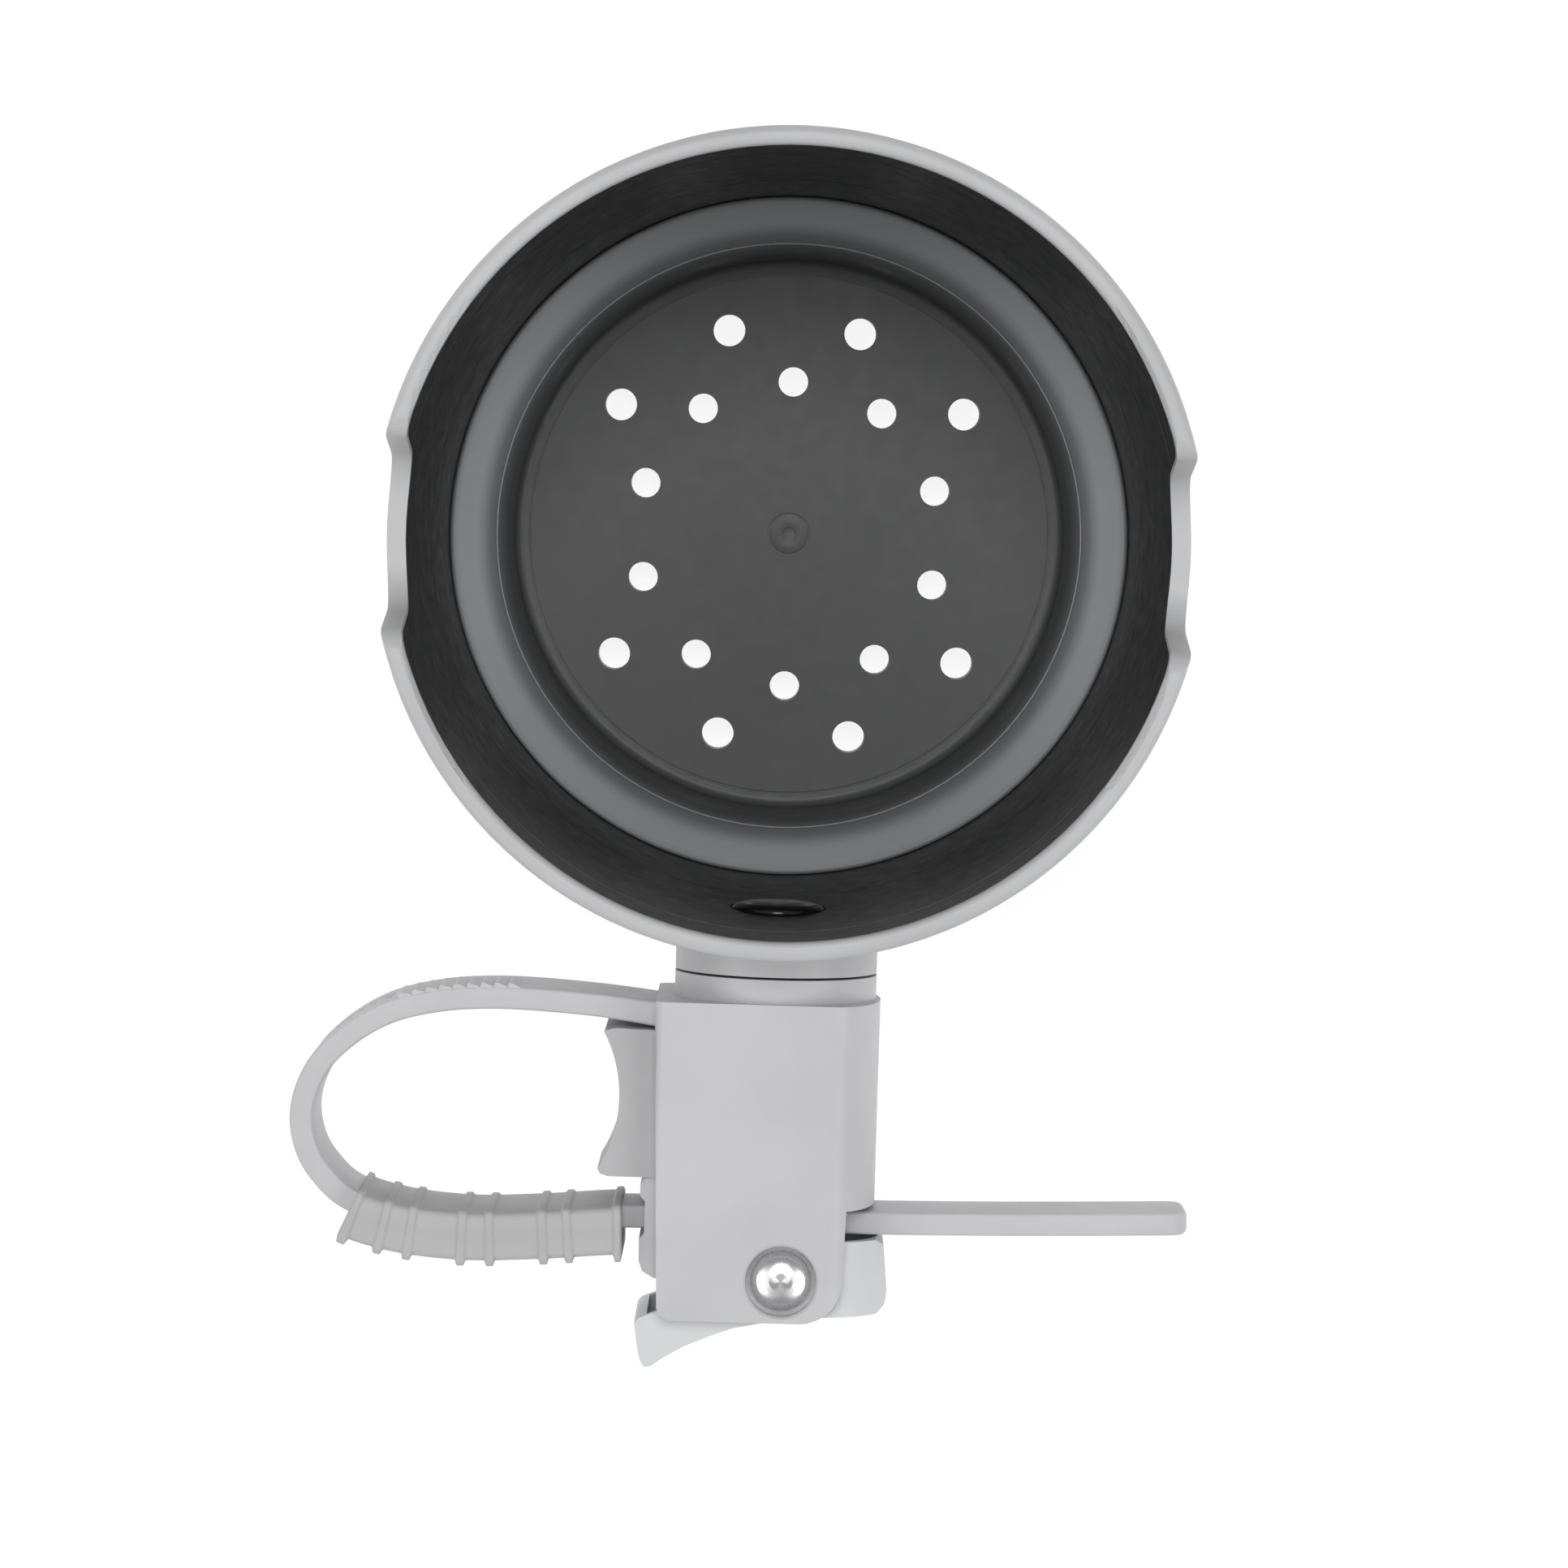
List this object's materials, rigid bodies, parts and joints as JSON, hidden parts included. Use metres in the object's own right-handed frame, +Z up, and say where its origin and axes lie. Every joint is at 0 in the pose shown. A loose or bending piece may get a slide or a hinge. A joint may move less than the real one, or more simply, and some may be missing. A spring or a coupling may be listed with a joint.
{
  "type": "strap clamp cup holder",
  "caption": "Open cup with handle notches and drain holes on a swivel joint, held to a tube by a toothed strap clamp with a release lever.",
  "frame": {"origin": "centre of the cup's flat underside", "axes": "+Z up along the cup's axis to its mouth, -Y from the cup to the clamp, +X from the strap loop to the strap's free tail"},
  "size_m": [0.1079, 0.1475, 0.085],
  "materials": {
    "shell_plastic": "satin moulded light grey",
    "liner_plastic": "matt dark grey",
    "well_plastic": "satin mid grey",
    "cap_plastic": "gloss black",
    "bush_plastic": "natural white",
    "housing_plastic": "satin moulded light grey",
    "strap_plastic": "satin moulded light grey",
    "lever_plastic": "satin moulded light grey",
    "pad_rubber": "matt grey rubber",
    "sleeve_rubber": "matt grey rubber",
    "fastener_steel": "zinc plated",
    "spring_steel": "bright",
    "chrome_pin": "polished"
  },
  "bodies": {
    "clamp": {"clamp_housing": "housing_plastic", "grip_pad": "pad_rubber", "pivot_screw": "fastener_steel", "spring_washer": "spring_steel", "pivot_nut": "fastener_steel", "detent_ball_left": "spring_steel", "detent_ball_right": "spring_steel", "detent_spring_left": "spring_steel", "detent_spring_right": "spring_steel", "lever_pin": "chrome_pin", "pin_retainer": "spring_steel", "torsion_spring": "spring_steel", "strap_loop": "strap_plastic"},
    "cup": {"cup_shell": "shell_plastic", "cup_liner": "liner_plastic", "cup_well": "well_plastic", "screw_cap": "cap_plastic", "flat_washer": "fastener_steel", "swivel_bush": "bush_plastic"},
    "lever": {"release_lever": "lever_plastic"},
    "strap": {"strap_tongue": "strap_plastic", "grip_sleeve": "sleeve_rubber"}
  },
  "joints": [
    {"name": "cup_swivel", "type": "hinge", "parent": "clamp", "child": "cup", "pos_m": [0, -0.05, 0.057], "axis": [0, 1, 0], "continuous": true},
    {"name": "lever_release", "type": "hinge", "parent": "clamp", "child": "lever", "pos_m": [0.00165, -0.0879, 0.057], "axis": [0, 0, -1], "range_deg": [0, 12], "stiffness_Nm_per_rad": 0.12, "springref_deg": -20.05, "deforming": ["torsion_spring"]},
    {"name": "strap_feed", "type": "slide", "parent": "clamp", "child": "strap", "axis": [1, 0, 0], "range_m": [-0.012, 0.0015], "deforming": ["strap_loop"]}
  ]
}
